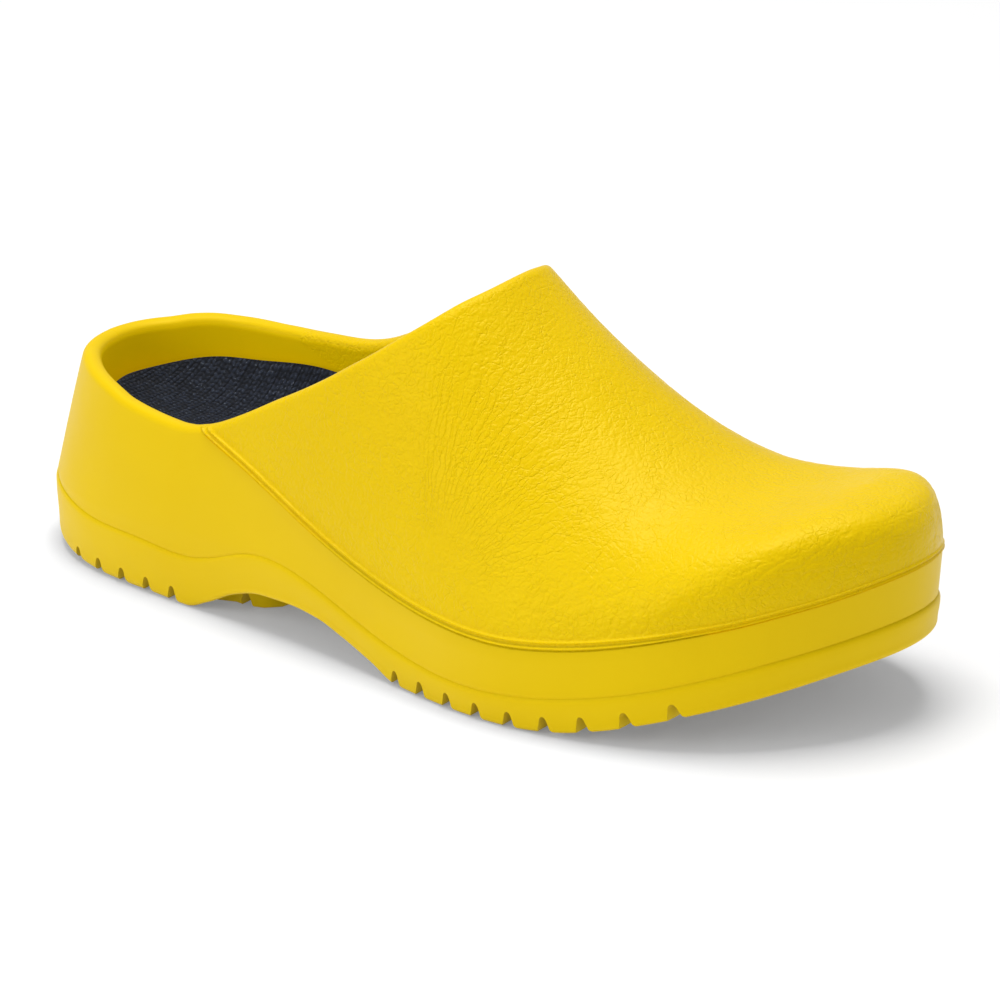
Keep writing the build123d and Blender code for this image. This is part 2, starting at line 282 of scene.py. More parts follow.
def start_of_vamp(side):
    """Foremost x where the rim still lies below the joint under the vamp."""
    x = np.linspace(-95, -50, 4001)
    return float(x[np.nonzero(welt_z(x) + JOINT - rim_base(x, side) > 0)[0][-1]])


VAMP_X = [start_of_vamp(OUTER), start_of_vamp(INNER)]
_t = np.linspace(0, 1, 20001)
_x = outline(_t)[:, 0]
TOE_T = _t[_x.argmax()]
HEEL_T = _t[_x.argmin()] - (1 if _t[_x.argmin()] > 0.5 else 0)
TOE_X = outline(TOE_T)[0]
SIDE_T = [np.linspace(start, TOE_T, 6001) for start in (HEEL_T, HEEL_T + 1)]
SIDE_X = [outline(t)[:, 0] for t in SIDE_T]


def t_at(x, side):
    """Outline parameter at x on one side."""
    return np.interp(x, SIDE_X[side], SIDE_T[side])


# ---- meshes ---------------------------------------------------------------

def weld(points, faces, cell=0.004):
    """Merges coincident points (mm) and drops faces that collapse."""
    key = np.round(points / cell).astype(np.int64)
    _, first, merged = np.unique(key, axis=0, return_index=True, return_inverse=True)
    merged = merged.ravel()
    kept = []
    for face in faces:
        ids = [int(merged[i]) for i in face]
        ids = [ids[k] for k in range(len(ids)) if ids[k] != ids[k - 1]]
        if len(set(ids)) == len(ids) and len(ids) > 2:
            kept.append(ids)
    return points[first], kept


def shade(mesh, degrees):
    """Smooth shading, with edges sharper than the angle kept hard."""
    mesh.polygons.foreach_set("use_smooth", [True] * len(mesh.polygons))
    mesh.set_sharp_from_angle(angle=math.radians(degrees))


class Grid:
    """Collects rows of points and the faces between them."""

    def __init__(self):
        self.points, self.faces, self.count = [], [], 0

    def add(self, points):
        """Adds points and returns their numbers, in the same rows and columns."""
        points = np.asarray(points, float)
        ids = np.arange(self.count, self.count + points[..., 0].size)
        self.points.append(points.reshape(-1, 3))
        self.count += len(ids)
        return ids.reshape(points.shape[:-1])

    def quads(self, ids, closed=False):
        """Faces between rows of point numbers; closed joins the last column to the first."""
        pairs = [(ids[:, :-1], ids[:, 1:])]
        if closed:
            pairs.append((ids[:, -1:], ids[:, :1]))
        for left, right in pairs:
            quad = np.stack([left[:-1], right[:-1], right[1:], left[1:]], -1)
            self.faces += quad.reshape(-1, 4).tolist()

    def prism(self, section, y_from, y_to):
        """Closed bar with an (x, z) section, running across the shoe."""
        ends = [self.add([(x, y, z) for x, z in section]) for y in (y_from, y_to)]
        self.quads(np.stack(ends), closed=True)
        self.faces.append(ends[0].tolist())
        self.faces.append(ends[1][::-1].tolist())

    def object(self, name):
        points, faces = weld(np.vstack(self.points), self.faces)
        mesh = bpy.data.meshes.new(name)
        mesh.from_pydata(((points + AXIS_ORIGIN) * MM).tolist(), [], faces)
        mesh.update()
        bm = bmesh.new()
        bm.from_mesh(mesh)
        bmesh.ops.remove_doubles(bm, verts=bm.verts, dist=2e-6)
        loose = [v for v in bm.verts if not v.link_faces]
        bmesh.ops.delete(bm, geom=loose, context="VERTS")
        bmesh.ops.recalc_face_normals(bm, faces=bm.faces)
        bm.to_mesh(mesh)
        bm.free()
        shade(mesh, 58)
        obj = bpy.data.objects.new(name, mesh)
        bpy.context.scene.collection.objects.link(obj)
        return obj


def points_of(obj):
    """Mesh points, back in mm about the shoe's own axis."""
    co = np.zeros(len(obj.data.vertices) * 3)
    obj.data.vertices.foreach_get("co", co)
    return co.reshape(-1, 3) * 1000 - AXIS_ORIGIN


# ---- surface relief -------------------------------------------------------

def cell_hash(i, j, k, seed):
    """Random value from 0 to 1 for a cell."""
    x = (i * 73856093) ^ (j * 19349663) ^ (k * 83492791) ^ (seed * 2654435761)
    x = (x ^ (x >> 13)) * 1274126177
    x = x & 0x7FFFFFFF
    x = (x ^ (x >> 16)) * 668265263
    return ((x & 0x7FFFFFFF) % 1000003) / 1000003.0


CORNERS = (0, 1)


def cell_distances(points, size, stretch=1.0):
    """Distances to the nearest and second nearest jittered cell points, in cells."""
    points = points / size * stretch
    cell = np.floor(points).astype(np.int64)
    nearest = np.full(len(points), 9.0)
    second = np.full(len(points), 9.0)
    for di in (-1, 0, 1):
        for dj in (-1, 0, 1):
            for dk in (-1, 0, 1):
                c = cell + np.array([di, dj, dk])
                jitter = np.stack([cell_hash(*c.T, seed) for seed in (1, 2, 3)], -1)
                dist = np.linalg.norm(c + 0.5 + (jitter - 0.5) * 0.9 - points, axis=1)
                second = np.minimum(second, np.maximum(nearest, dist))
                nearest = np.minimum(nearest, dist)
    return nearest, second


def value_noise(points, size, seed):
    """Smooth noise from -1 to 1."""
    points = points / size
    cell = np.floor(points).astype(np.int64)
    f = points - cell
    u = f * f * (3 - 2 * f)
    total = 0
    for di in CORNERS:
        for dj in CORNERS:
            for dk in CORNERS:
                weight = 1.0
                for axis, d in enumerate((di, dj, dk)):
                    weight = weight * (u[:, axis] if d else 1 - u[:, axis])
                total = total + weight * cell_hash(
                    cell[:, 0] + di, cell[:, 1] + dj, cell[:, 2] + dk, seed)
    return total * 2 - 1


def noise_vectors(points, size, seeds):
    return np.stack([value_noise(points, size, seed) for seed in seeds], -1)


def fan(points):
    """Creases that spread from the ball of the foot: cell coordinates and weight."""
    x, y, z = points.T
    # distance round the shoe, unrolled at a mean radius of 45
    girth = 45.0 * np.arctan2(-(y - spine_y(np.clip(x, -90, 117))), np.maximum(z - 15.0, 4.0))
    dx, dy = x - 22.0, 60.0 - girth
    radius = np.sqrt(dx * dx + dy * dy) + 1e-6
    angle = np.arctan2(dy, dx)
    weight = (smooth(9, 21, radius) * (1 - smooth(36, 60, radius))
              * smooth(0.1, 0.5, angle) * (1 - smooth(1.75, 2.2, angle)))
    cells = [angle / 0.058, np.log(radius / 10.0) / 0.27, np.zeros_like(angle)]
    return np.stack(cells, -1), weight


def grain(grid):
    """Pebbled leather grain of the vamp: height in mm."""
    points = grid.reshape(-1, 3)
    x, z = points[:, 0], points[:, 2]
    warp = (noise_vectors(points, 8.0, (11, 12, 13)) * 2.2
            + noise_vectors(points, 2.6, (14, 15, 16)) * 0.9)
    warped = points + warp
    # large cells lie slanted, so that the creases run up and towards the heel
    cos, sin = math.cos(0.75), math.sin(0.75)
    slanted = np.stack([warped[:, 0] * cos - warped[:, 2] * sin, warped[:, 1],
                        warped[:, 0] * sin + warped[:, 2] * cos], -1)
    near, second = cell_distances(slanted, 5.2, np.array([1.25, 1.0, 0.72]))
    big = 1 - smooth(0.0, 0.20, second - near)
    small_near, small_second = cell_distances(warped + 50.0, 2.6)
    small = 1 - smooth(0.0, 0.30, small_second - small_near)
    # strongest on the upright face round the toe, faint on its top
    up = z - welt_z(np.maximum(x, -90))
    face = smooth(30, 62, x) * (1 - smooth(13.0, 22.0, up))
    top = smooth(45, 80, x) * smooth(17.0, 25.0, up)
    big_amp = np.clip(0.42 + 0.8 * value_noise(points, 14.0, 21) + 0.95 * face - 0.45 * top,
                      0.04, 1.7)
    small_amp = np.clip(0.75 + 0.5 * value_noise(points, 9.0, 22) + 0.25 * face - 0.25 * top,
                        0.25, 1.25)
    cells, weight = fan(points)
    wobble = noise_vectors(points, 6.0, (41, 42))
    cells = cells * 1.3 + np.c_[wobble, np.zeros(len(points))] * 0.7
    fan_near, fan_second = cell_distances(cells, 1.0)
    crease = 1 - smooth(0.0, 0.34, fan_second - fan_near)
    fan_amp = weight * np.clip(0.65 + 0.7 * value_noise(points, 11.0, 43), 0.1, 1.1)
    # grooves between the cells, then domed cells, fine noise and broad waves
    height = (-0.062 * big * big_amp * (1 - 0.7 * weight)
              - 0.052 * small * small_amp * (1 - 0.6 * weight) - 0.090 * crease * fan_amp)
    height = (height + 0.03 * (1 - np.clip(near, 0, 1) ** 2) * big_amp
              + 0.03 * value_noise(points, 1.6, 31) + 0.05 * value_noise(points, 16.0, 5))
    return height.reshape(grid.shape[:-1])


def bead_scale(x):
    """The welt bead gets narrower towards the toe."""
    return 1 - 0.3 * smooth(70, 130, x)


def bead(up, x):
    """Double welt bead: offset in mm at a height above the welt line."""
    u = up / bead_scale(x)
    lower = np.exp(-((u - 0.48) / 0.36) ** 2)
    upper = np.exp(-((u - 2.05) / 0.30) ** 2)
    band = smooth(0.0, 0.5, u) * (1 - smooth(1.9, 2.5, u))
    notch = np.exp(-((u + 0.12) / 0.26) ** 2)
    profile = 0.74 * lower + 0.62 * upper + 0.18 * band - 0.40 * notch
    return profile * (1 - 0.42 * smooth(85, 130, x))


def bead_reach(x, side):
    """Weight of the bead, which fades in near the start of the vamp."""
    return np.where(np.asarray(side) == OUTER, smooth(-10.0, -5.0, x - VAMP_X[OUTER]),
                    smooth(4.0, 12.0, x - VAMP_X[INNER]))


def bead_at(points, side):
    """Bead relief at points of the wall."""
    x = points[..., 0]
    return bead(points[..., 2] - welt_z(np.maximum(x, -90)), x) * bead_reach(x, side)


def flare(x, z):
    """The sidewall leans out a little towards the toe and is slightly hollow elsewhere."""
    low, high = sole_top_z(x), np.minimum(welt_z(np.maximum(x, -72)), 54)
    u = np.clip((z - low) / np.maximum(high - low, 1), 0, 1)
    v = np.clip((z - high) / 22.0, 0, 1)
    lean = smooth(95, 132, x) * 0.9 * np.where(v > 0, 1 - v * v * (3 - 2 * v), u)
    hollow = (1 - smooth(60, 120, x)) * 0.22 * np.sin(np.pi * u) * smooth(-80, -30, x)
    return lean - hollow


# ---- the ring: sample columns round the shell -----------------------------
# Samples come in pairs, outer and inner side at the same x, so that the caps close on the
# spine.  The ring starts at the vamp's outer start, runs round the toe to its inner start
# and back round the heel.
HALF = 600
SPAN_T = TOE_T - HEEL_T
_vamp_t = [float(t_at(x, OUTER)) for x in VAMP_X]
_inner_col = int(round(HALF * (_vamp_t[INNER] - HEEL_T) / SPAN_T))
_outer_col = max(_inner_col + 6, int(round(HALF * (_vamp_t[OUTER] - HEEL_T) / SPAN_T)))
_outer_t = np.interp(np.arange(HALF + 1), [0, _inner_col, _outer_col, HALF],
                     [HEEL_T, _vamp_t[INNER], _vamp_t[OUTER], TOE_T])
_outer_x = outline(_outer_t)[:, 0]
_inner_t = t_at(_outer_x, INNER)


def ring_of(outer, inner):
    return np.concatenate([outer[_outer_col:], inner[HALF - 1:0:-1], outer[:_outer_col]])


RING_T = ring_of(_outer_t, _inner_t)
RING_X = ring_of(_outer_x, _outer_x)
RING_SIDE = ring_of(np.full(HALF + 1, OUTER), np.full(HALF + 1, INNER))
INNER_START = (HALF + 1 - _outer_col) + (HALF - 1 - _inner_col)
RING_ID = np.arange(len(RING_T))
FRONT = RING_ID[:INNER_START + 1]
REAR = np.r_[RING_ID[INNER_START:], 0]
RING_XY, RING_N = outline(RING_T), outline_normal(RING_T)
SPINE_XY = np.stack(spine(RING_X), -1)
SOLE_TOP = sole_top_z(RING_X)


def ring_row(offset, z):
    """Row of points at an offset outwards from the outline."""
    return np.c_[RING_XY + RING_N * np.reshape(offset, (-1, 1)), z]


def cap(grid, row, row_ids, height, rings):
    """Closes a row with ever smaller rings that end on the spine."""
    ids = [row_ids]
    for k in range(1, rings + 1):
        xy = row[:, :2] + (SPINE_XY - row[:, :2]) * (1 - (1 - k / rings) ** 1.15)
        if k == rings:
            xy = SPINE_XY
        ids.append(grid.add(np.c_[xy, height(xy[:, 0])]))
    grid.quads(np.stack(ids), closed=True)


# ---- outsole --------------------------------------------------------------
# upper edge of the outsole: (height from its top line, offset outwards)
SOLE_EDGE = ((-1.4, .60), (-1.15, .58), (-.9, .53), (-.65, .44), (-.42, .32), (-.2, .17),
             (0.0, 0.0))
SOLE_BULGE = 0.6
GROOVE_PITCH = 9.8
GROOVE_X = [-114.0 + i * GROOVE_PITCH for i in range(5)] + [
    10.6, 20.3, 30.3, 40.4, 50.8, 61.3, 72.0, 83.4, 95.2]
# groove section: (x, z) from the groove's middle at ground level
GROOVE = [(-3.3, -3.0), (-2.6, -.3), (-2.05, .25), (-1.6, 1.0), (-1.25, 2.4), (-.98, 3.7),
          (-.62, 4.5), (0, 4.8), (.62, 4.5), (1.02, 3.7), (1.4, 2.4), (1.85, 1.0),
          (2.4, .25), (3.0, -.3), (3.8, -3.0)]
# block under the arch: plan (x, y), and levels as (inset, z)
BLOCK = np.array([
    (-76, -33.0), (-66, -32.0), (-60, -30.0), (-56, -30.6), (-51, -29.0), (-47.3, -25.4),
    (-45.8, -18), (-45.6, -8), (-45.6, 6), (-46.0, 14), (-48.4, 19.5), (-52, 22.6),
    (-60, 25.0), (-76, 27.0)])
BLOCK_LEVELS = ((1.1, 0.10), (0.6, 0.22), (0.25, 0.5), (0.06, 0.9), (0.0, 1.6),
                (-0.3, 6.0), (-0.5, 11.0))
# slot that splits the block into two lugs: section (x, z)
BLOCK_SLOT = [(-58.0, -2.0), (-57.7, .6), (-57.3, 2.4), (-56.8, 3.8), (-56.2, 4.6),
              (-55.4, 4.6), (-54.8, 3.8), (-54.4, 2.4), (-54.0, .6), (-53.7, -2.0)]


def sole_body():
    x, bottom = RING_X, ground_z(RING_X)
    radius = (1.5 + 1.4 * (1 - smooth(-125, -100, x)) + 1.1 * (1 - smooth(-84, -70, x))
              + 1.4 * np.exp(-((x - 1) / 9) ** 2) + 0.6 * smooth(100, 128, x))
    radius = np.minimum(radius, (SOLE_TOP - bottom) * 0.42)
    rows = [ring_row(-radius * (1 - np.sin(a)), bottom + radius * (1 - np.cos(a)))
            for a in np.linspace(0, 1, 9) * np.pi / 2]
    low, high = bottom + radius, SOLE_TOP - 1.7
    rows += [ring_row(SOLE_BULGE * smooth(0, 1, u), low + (high - low) * u)
             for u in np.linspace(0, 1, 11)[1:]]
    rows += [ring_row(offset, SOLE_TOP + dz) for dz, offset in SOLE_EDGE]
    rows = np.stack(rows)
    rows[-1, :, :2] -= RING_N * 0.10
    grid = Grid()
    ids = grid.add(rows)
    grid.quads(ids, closed=True)
    cap(grid, rows[0], ids[0], ground_z, 22)
    cap(grid, rows[-1], ids[-1], sole_top_z, 4)
    return grid.object("outsole_tread")


def arch_block():
    """Block that carries the heel tread on under the arch."""
    grid = Grid()
    from_centre = unit(BLOCK - BLOCK.mean(0))
    levels = np.stack([grid.add(np.c_[BLOCK - from_centre * inset, np.full(len(BLOCK), z)])
                       for inset, z in BLOCK_LEVELS])
    grid.quads(levels, closed=True)
    grid.faces.append(levels[0][::-1].tolist())
    grid.faces.append(levels[-1].tolist())
    return grid.object("heel_breast")


def tread_cutter():
    """Bars across the sole that cut grooves open towards the ground."""
    grid = Grid()
    for middle in GROOVE_X:
        slope = float(ground_z(middle + 2) - ground_z(middle - 2)) / 4
        level = float(ground_z(middle))
        grid.prism([(middle + x - z * slope * .5, level + z + x * slope) for x, z in GROOVE],
                   -75.0, 75.0)
    grid.prism(BLOCK_SLOT, -34.5, 28.0)
    return grid.object("tread_cutter")


def build_outsole():
    outsole, block, cutter = sole_body(), arch_block(), tread_cutter()
    for name, operation, tool in (("lugs", "UNION", block), ("tread", "DIFFERENCE", cutter)):
        modifier = outsole.modifiers.new(name, "BOOLEAN")
        modifier.operation = operation
        modifier.solver = "EXACT"
        modifier.object = tool
    bpy.context.view_layer.update()
    evaluated = outsole.evaluated_get(bpy.context.evaluated_depsgraph_get())
    mesh = bpy.data.meshes.new_from_object(evaluated)
    outsole.modifiers.clear()
    plain = outsole.data
    outsole.data = mesh
    shade(mesh, 35)
    bpy.data.meshes.remove(plain)
    bpy.data.objects.remove(cutter)
    bpy.data.objects.remove(block)
    return outsole


# ---- rim of the opening ---------------------------------------------------

def rim_arc(outer, inner, direction, side, steps=26, power=0.86):
    """Rounded edge between two faces; direction points out of the material."""
    middle = (outer + inner) / 2
    half = (outer - inner) / 2
    radius = np.linalg.norm(half, axis=-1, keepdims=True)
    rows = []
    for k in range(1, steps):
        cos, sin = math.cos(np.pi * k / steps), math.sin(np.pi * k / steps)
        row = (middle + half * math.copysign(abs(cos) ** power, cos)
               + direction * radius * sin ** power)
        normal = half / radius * cos + direction * sin
        fade = 1 - smooth(0.15, 0.36, k / steps)
        rows.append(row + normal * (bead_at(row, side) * fade)[..., None])
    return np.stack(rows)


def rim_direction(points, normal):
    """Upward direction square to the rim line and to the wall normal."""
    along = unit(np.gradient(points, axis=0), 1e-9)
    direction = unit(np.cross(normal, along), 1e-9)
    return direction * np.sign(np.median(direction[:, 2]))


def close_rim(grid, outer_ids, arc, inner_ids):
    """Faces of the rim's round and of its two ends."""
    ids = np.vstack([outer_ids[None], grid.add(arc), inner_ids[None]])
    grid.quads(ids)
    for column in (0, -1):
        grid.faces.append(ids[:, column].tolist())


# ---- heel quarter and sidewall --------------------------------------------
WALL_FOOT = np.array([0.0, .1, .24, .42, .65, .95, 1.4])   # first rows above the outsole
WALL_ROWS = 60
INNER_ROWS = 12


def build_sidewall():
    """Returns the object and the rim direction along the rear columns."""
    x = RING_X
    front = (RING_ID > 0) & (RING_ID < INNER_START)
    wall_top = np.where(front, welt_z(x) + JOINT, rim_base(x, RING_SIDE))
    foot = WALL_FOOT[-1]
    up = np.linspace(0, 1, WALL_ROWS)[1:, None]
    z = np.concatenate([
        SOLE_TOP[None] + WALL_FOOT[:, None],
        (SOLE_TOP + foot)[None] + (wall_top - SOLE_TOP - foot)[None] * (1 - (1 - up) ** 1.25)])
    t = np.broadcast_to(RING_T, z.shape)
    rise = rise_at_z(t, z)
    base = form(t, rise)
    base[..., 2] = z
    normal = form_normal(t, rise)
    above = z - SOLE_TOP[None]
    seam = -0.10 * np.exp(-(above / 0.5) ** 2)
    beaded = ((RING_ID <= INNER_START) | (x > VAMP_X[OUTER] - 12)
              | ((x > VAMP_X[INNER] - 12) & (RING_SIDE == INNER)))
    bead_amp = np.where(beaded, bead_reach(x, RING_SIDE), 0.0)
    x_rows = np.broadcast_to(x, z.shape)
    bead_up = z - welt_z(np.maximum(x_rows, -90))
    relief = seam + flare(x_rows, z) + bead_amp * bead(bead_up, x_rows)
    outer = base + normal * relief[..., None]
    outer[..., 2] = np.where(above < 1.3, z, outer[..., 2])
    grid = Grid()
    outer_ids = grid.add(outer)
    grid.quads(outer_ids, closed=True)
    cap(grid, outer[0], outer_ids[0], sole_top_z, 4)

    # the rim's round on the rear part
    top, top_normal = base[-1], normal[-1]
    direction = rim_direction(top[REAR], top_normal[REAR])
    arc = rim_arc(top[REAR], (top - top_normal * WALL)[REAR], direction, RING_SIDE[REAR])

    # inner wall down to the floor, all round
    floor = floor_z(x)
    z = wall_top[None] + (floor - wall_top)[None] * np.linspace(0, 1, INNER_ROWS)[:, None]
    t = np.broadcast_to(RING_T, z.shape)
    rise = rise_at_z(t, z)
    inner = form(t, rise)
    inner[..., 2] = z
    normal = form_normal(t, rise)
    normal[0] = top_normal
    inner = inner - normal * WALL
    inner[1:, :, 2] = np.minimum(inner[1:, :, 2], inner[0, :, 2][None])
    inner[-1, :, 2] = floor
    inner_ids = grid.add(inner)
    grid.quads(inner_ids, closed=True)
    cap(grid, inner[-1], inner_ids[-1], floor_z, 6)
    close_rim(grid, outer_ids[-1, REAR], arc, inner_ids[0, REAR])
    # joint face under the vamp
    grid.quads(np.stack([outer_ids[-1, FRONT], inner_ids[0, FRONT]]))
    return grid.object("heel_quarter_and_sidewall"), direction


# ---- vamp -----------------------------------------------------------------
COLUMNS = 560    # per side
ROWS = 235       # from the bead to the crown
# rows over the bead: heights from the welt line
BEAD_ROWS = np.array([JOINT, -.42, -.3, -.18, -.05, .1, .25, .42, .62, .82, 1.0, 1.12, 1.2,
                      1.32, 1.5, 1.72, 1.95, 2.12, 2.25, 2.4, 2.6, 2.9])
BEAD_SPAN = BEAD_ROWS[-1] - JOINT
BEAD_COUNT = len(BEAD_ROWS)
CREST_X = (-78, -73, -68, -64, -60, -55.3, -48.3, -41.3, -34.5, -27.9, -21.6, -15.6, -11.1,
           -6.8, -.2)
# crest over the throat, outer side
THROAT_X = np.array([6.4, 9.7, 12.4, 14.2])
THROAT_Y = np.array([-24.4, -19.9, -14.6, -8.3])
PEAK_X = 15.0                      # crest at the spine


def crest_nodes(side):
    """Form coordinates of the topline crest, from the vamp's start to its peak."""
    start = VAMP_X[side]
    x = np.array([start - 6, start - 3, start] + [x for x in CREST_X if x > start + 2.5])
    t = t_at(x, side)
    rise = rise_at_z(t, crest(x, side))
    throat_t = t_at(THROAT_X, OUTER)
    throat_rise = rise_at_y(throat_t, THROAT_Y)
    if side == INNER:
        # the inner side reaches the same heights
        z = form(throat_t, throat_rise)[:, 2]
        throat_t = t_at(THROAT_X, INNER)
        throat_rise = rise_at_z(throat_t, z)
    return np.r_[t, throat_t, t_at(PEAK_X, side)], np.r_[rise, throat_rise, 1.0]


def rim_line(side, samples=1500):
    """Start of the rim's round: the crest line moved down the form by the rim radius."""
    nodes = form(*crest_nodes(side))
    # points of the other side past the peak keep the line square to the crown
    beyond = form(*crest_nodes(1 - side))[-4:-1][::-1]
    all_nodes = np.vstack([nodes, beyond])
    dist = lengths_along(all_nodes)
    line = spline(dist, all_nodes)
    u = np.linspace(dist[2], dist[len(nodes) - 1], samples)
    points = line(u)
    t = t_at(points[:, 0], side)
    rise = rise_at(t, points)
    down = unit(np.cross(form_normal(t, rise), line(u, derivative=True)))
    down *= -np.sign(down[0, 2])
    points = form(t, rise) + down * RIM
    points[-1, 1] = spine(points[-1, 0])[1]
    t = t_at(points[:, 0], side)
    rise = rise_at(t, points)
    rise[-1] = 1.0
    # start exactly at the welt, and blend the first stretch to the quarter's own rim
    t[0] = t_at(VAMP_X[side], side)
    rise[0] = rise_at_z(t[0], rim_base(VAMP_X[side], side))
    x = outline(t)[:, 0]
    near = 1 - smooth(0, 12, x - VAMP_X[side])
    return t, rise * (1 - near) + rise_at_z(t, rim_base(x, side)) * near


def upper_edge(side):
    """Rim line, then the spine to the toe: t, rise, distance, and distance of the peak."""
    rim_t, rim_rise = rim_line(side)
    peak_x = form(rim_t, rim_rise)[-1, 0]
    x = np.linspace(peak_x, spine(TOE_X)[0], 900)[1:]
    fine_x = np.linspace(peak_x - 4, TOE_X, 6000)
    spine_t = t_at(np.interp(x, spine(fine_x)[0], fine_x), side)
    spine_t[-1] = TOE_T
    t, rise = np.r_[rim_t, spine_t], np.r_[rim_rise, np.ones(len(x))]
    dist = lengths_along(form(t, rise))
    return t, rise, dist, dist[len(rim_t) - 1]


def vamp_half(side, edge, peak):
    """Points, normals, bottom x, bead scale, column length and side of one half."""
    edge_t, edge_rise, edge_dist, peak_dist = edge
    bottom_t = np.linspace(float(t_at(VAMP_X[side], side)), TOE_T, COLUMNS)
    top_dist = np.interp(np.arange(COLUMNS), [0, peak, COLUMNS - 1],
                         [0, peak_dist, edge_dist[-1]])
    top_t = np.interp(top_dist, edge_dist, edge_t)
    top_rise = np.interp(top_dist, edge_dist, edge_rise)
    top_rise[peak:] = 1.0
    x = outline(bottom_t)[:, 0]
    bottom_z = welt_z(x) + JOINT
    bottom_z[0] = rim_base(VAMP_X[side], side)
    # near its start the vamp is too low for the full bead
    room = np.maximum(rim_base(np.minimum(x, -20), side) - bottom_z, 0) * 0.75 / BEAD_SPAN
    scale = bead_scale(x)
    scale = np.where(x < -20, np.minimum(scale, room), scale)
    scale[0] = 0.0
    low_z = bottom_z[None] + (BEAD_ROWS - JOINT)[:, None] * scale[None]
    low_t = np.broadcast_to(bottom_t, low_z.shape)
    low_rise = rise_at_z(low_t, low_z)
    # fine columns up to the edge, sampled again at even distances
    u = (np.linspace(0, 1, 500) ** 2.6)[:, None]
    fine_t = bottom_t[None] + (top_t - bottom_t)[None] * u ** 0.8
    fine_rise = low_rise[-1][None] + (top_rise - low_rise[-1])[None] * u
    steps = np.linalg.norm(np.diff(form(fine_t, fine_rise), axis=0), axis=-1)
    dist = np.vstack([np.zeros((1, COLUMNS)), np.cumsum(steps, axis=0)])
    t, rise = np.zeros((ROWS, COLUMNS)), np.zeros((ROWS, COLUMNS))
    for j in range(COLUMNS):
        length = dist[-1, j]
        if length < 1e-6:
            t[:, j], rise[:, j] = bottom_t[j], low_rise[-1, j]
            continue
        even = np.linspace(0, 1, ROWS) * length
        t[:, j] = np.interp(even, dist[:, j], fine_t[:, j])
        rise[:, j] = np.interp(even, dist[:, j], fine_rise[:, j])
    t = np.concatenate([low_t, t[1:]])
    rise = np.concatenate([low_rise, rise[1:]])
    points = form(t, rise)
    low = points[:BEAD_COUNT]
    low[..., 2] = np.where(low_rise > 0, low[..., 2], low_z)
    return points, form_normal(t, rise), x, scale, dist[-1], np.full(COLUMNS, side)


def join_halves(outer, inner):
    """Outer side then inner side, sharing the toe column."""
    if outer.ndim == 1:
        return np.concatenate([outer, inner[::-1][1:]])
    return np.concatenate([outer, inner[:, ::-1][:, 1:]], 1)


def relax_crown(sheet, peak):
    """Evens out the rows next to the crown line that both halves share."""
    rows, columns = sheet.shape[:2]
    j = np.arange(columns)
    ramp_in = np.minimum(smooth(peak, peak + 14, j), smooth(peak, peak + 14, columns - 1 - j))
    for _ in range(24):
        relaxed = sheet.copy()
        for r in range(rows - 14, rows):
            above = sheet[r + 1] if r + 1 < rows else sheet[r - 1][::-1]
            weight = ramp_in * (r - (rows - 15)) / 15 * 0.5
            relaxed[r] += ((above + sheet[r - 1]) / 2 - sheet[r]) * weight[:, None]
        sheet = relaxed
    return sheet


